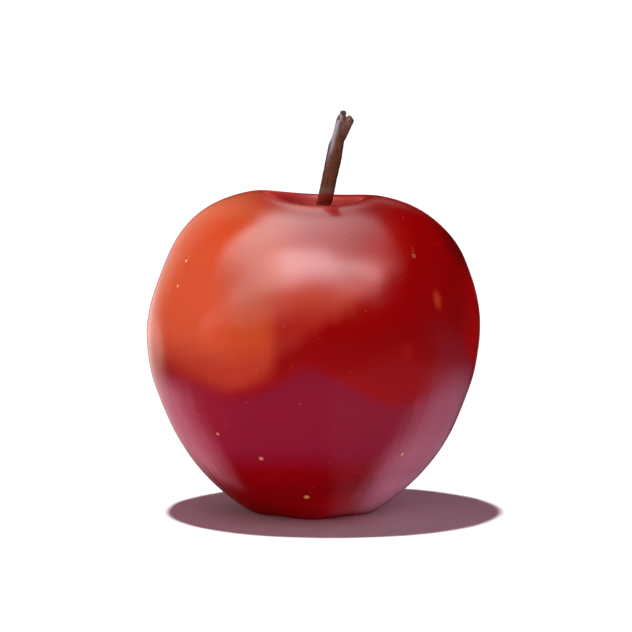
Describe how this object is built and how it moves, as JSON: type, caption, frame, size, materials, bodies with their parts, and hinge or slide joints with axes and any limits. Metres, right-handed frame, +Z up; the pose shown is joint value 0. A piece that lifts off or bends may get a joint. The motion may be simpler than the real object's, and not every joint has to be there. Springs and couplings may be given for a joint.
{
  "type": "red apple",
  "caption": "Whole ripe apple with a stem pit, a short forked woody stem and a dried calyx under it; stands on the lobes round its eye.",
  "frame": {"origin": "on the surface that the apple stands on, under the middle of its girth", "axes": "+Z up along the core, towards the stem; +X towards the fuller cheek that the stem leans to; one foot points to -Y, which is the front"},
  "size_m": [0.0758, 0.0754, 0.0916],
  "materials": {
    "skin": "waxy red apple skin with an orange sun blush, pale lenticels and a soft gloss",
    "stem_bark": "dry brown bark, matte, dark at the broken tips",
    "dried_calyx": "dry, downy, matte",
    "withered_stamens": "dry and brittle, matte"
  },
  "bodies": {
    "root": {"fruit": "skin", "stem": "stem_bark", "calyx": "dried_calyx", "stamens": "withered_stamens"}
  },
  "joints": []
}
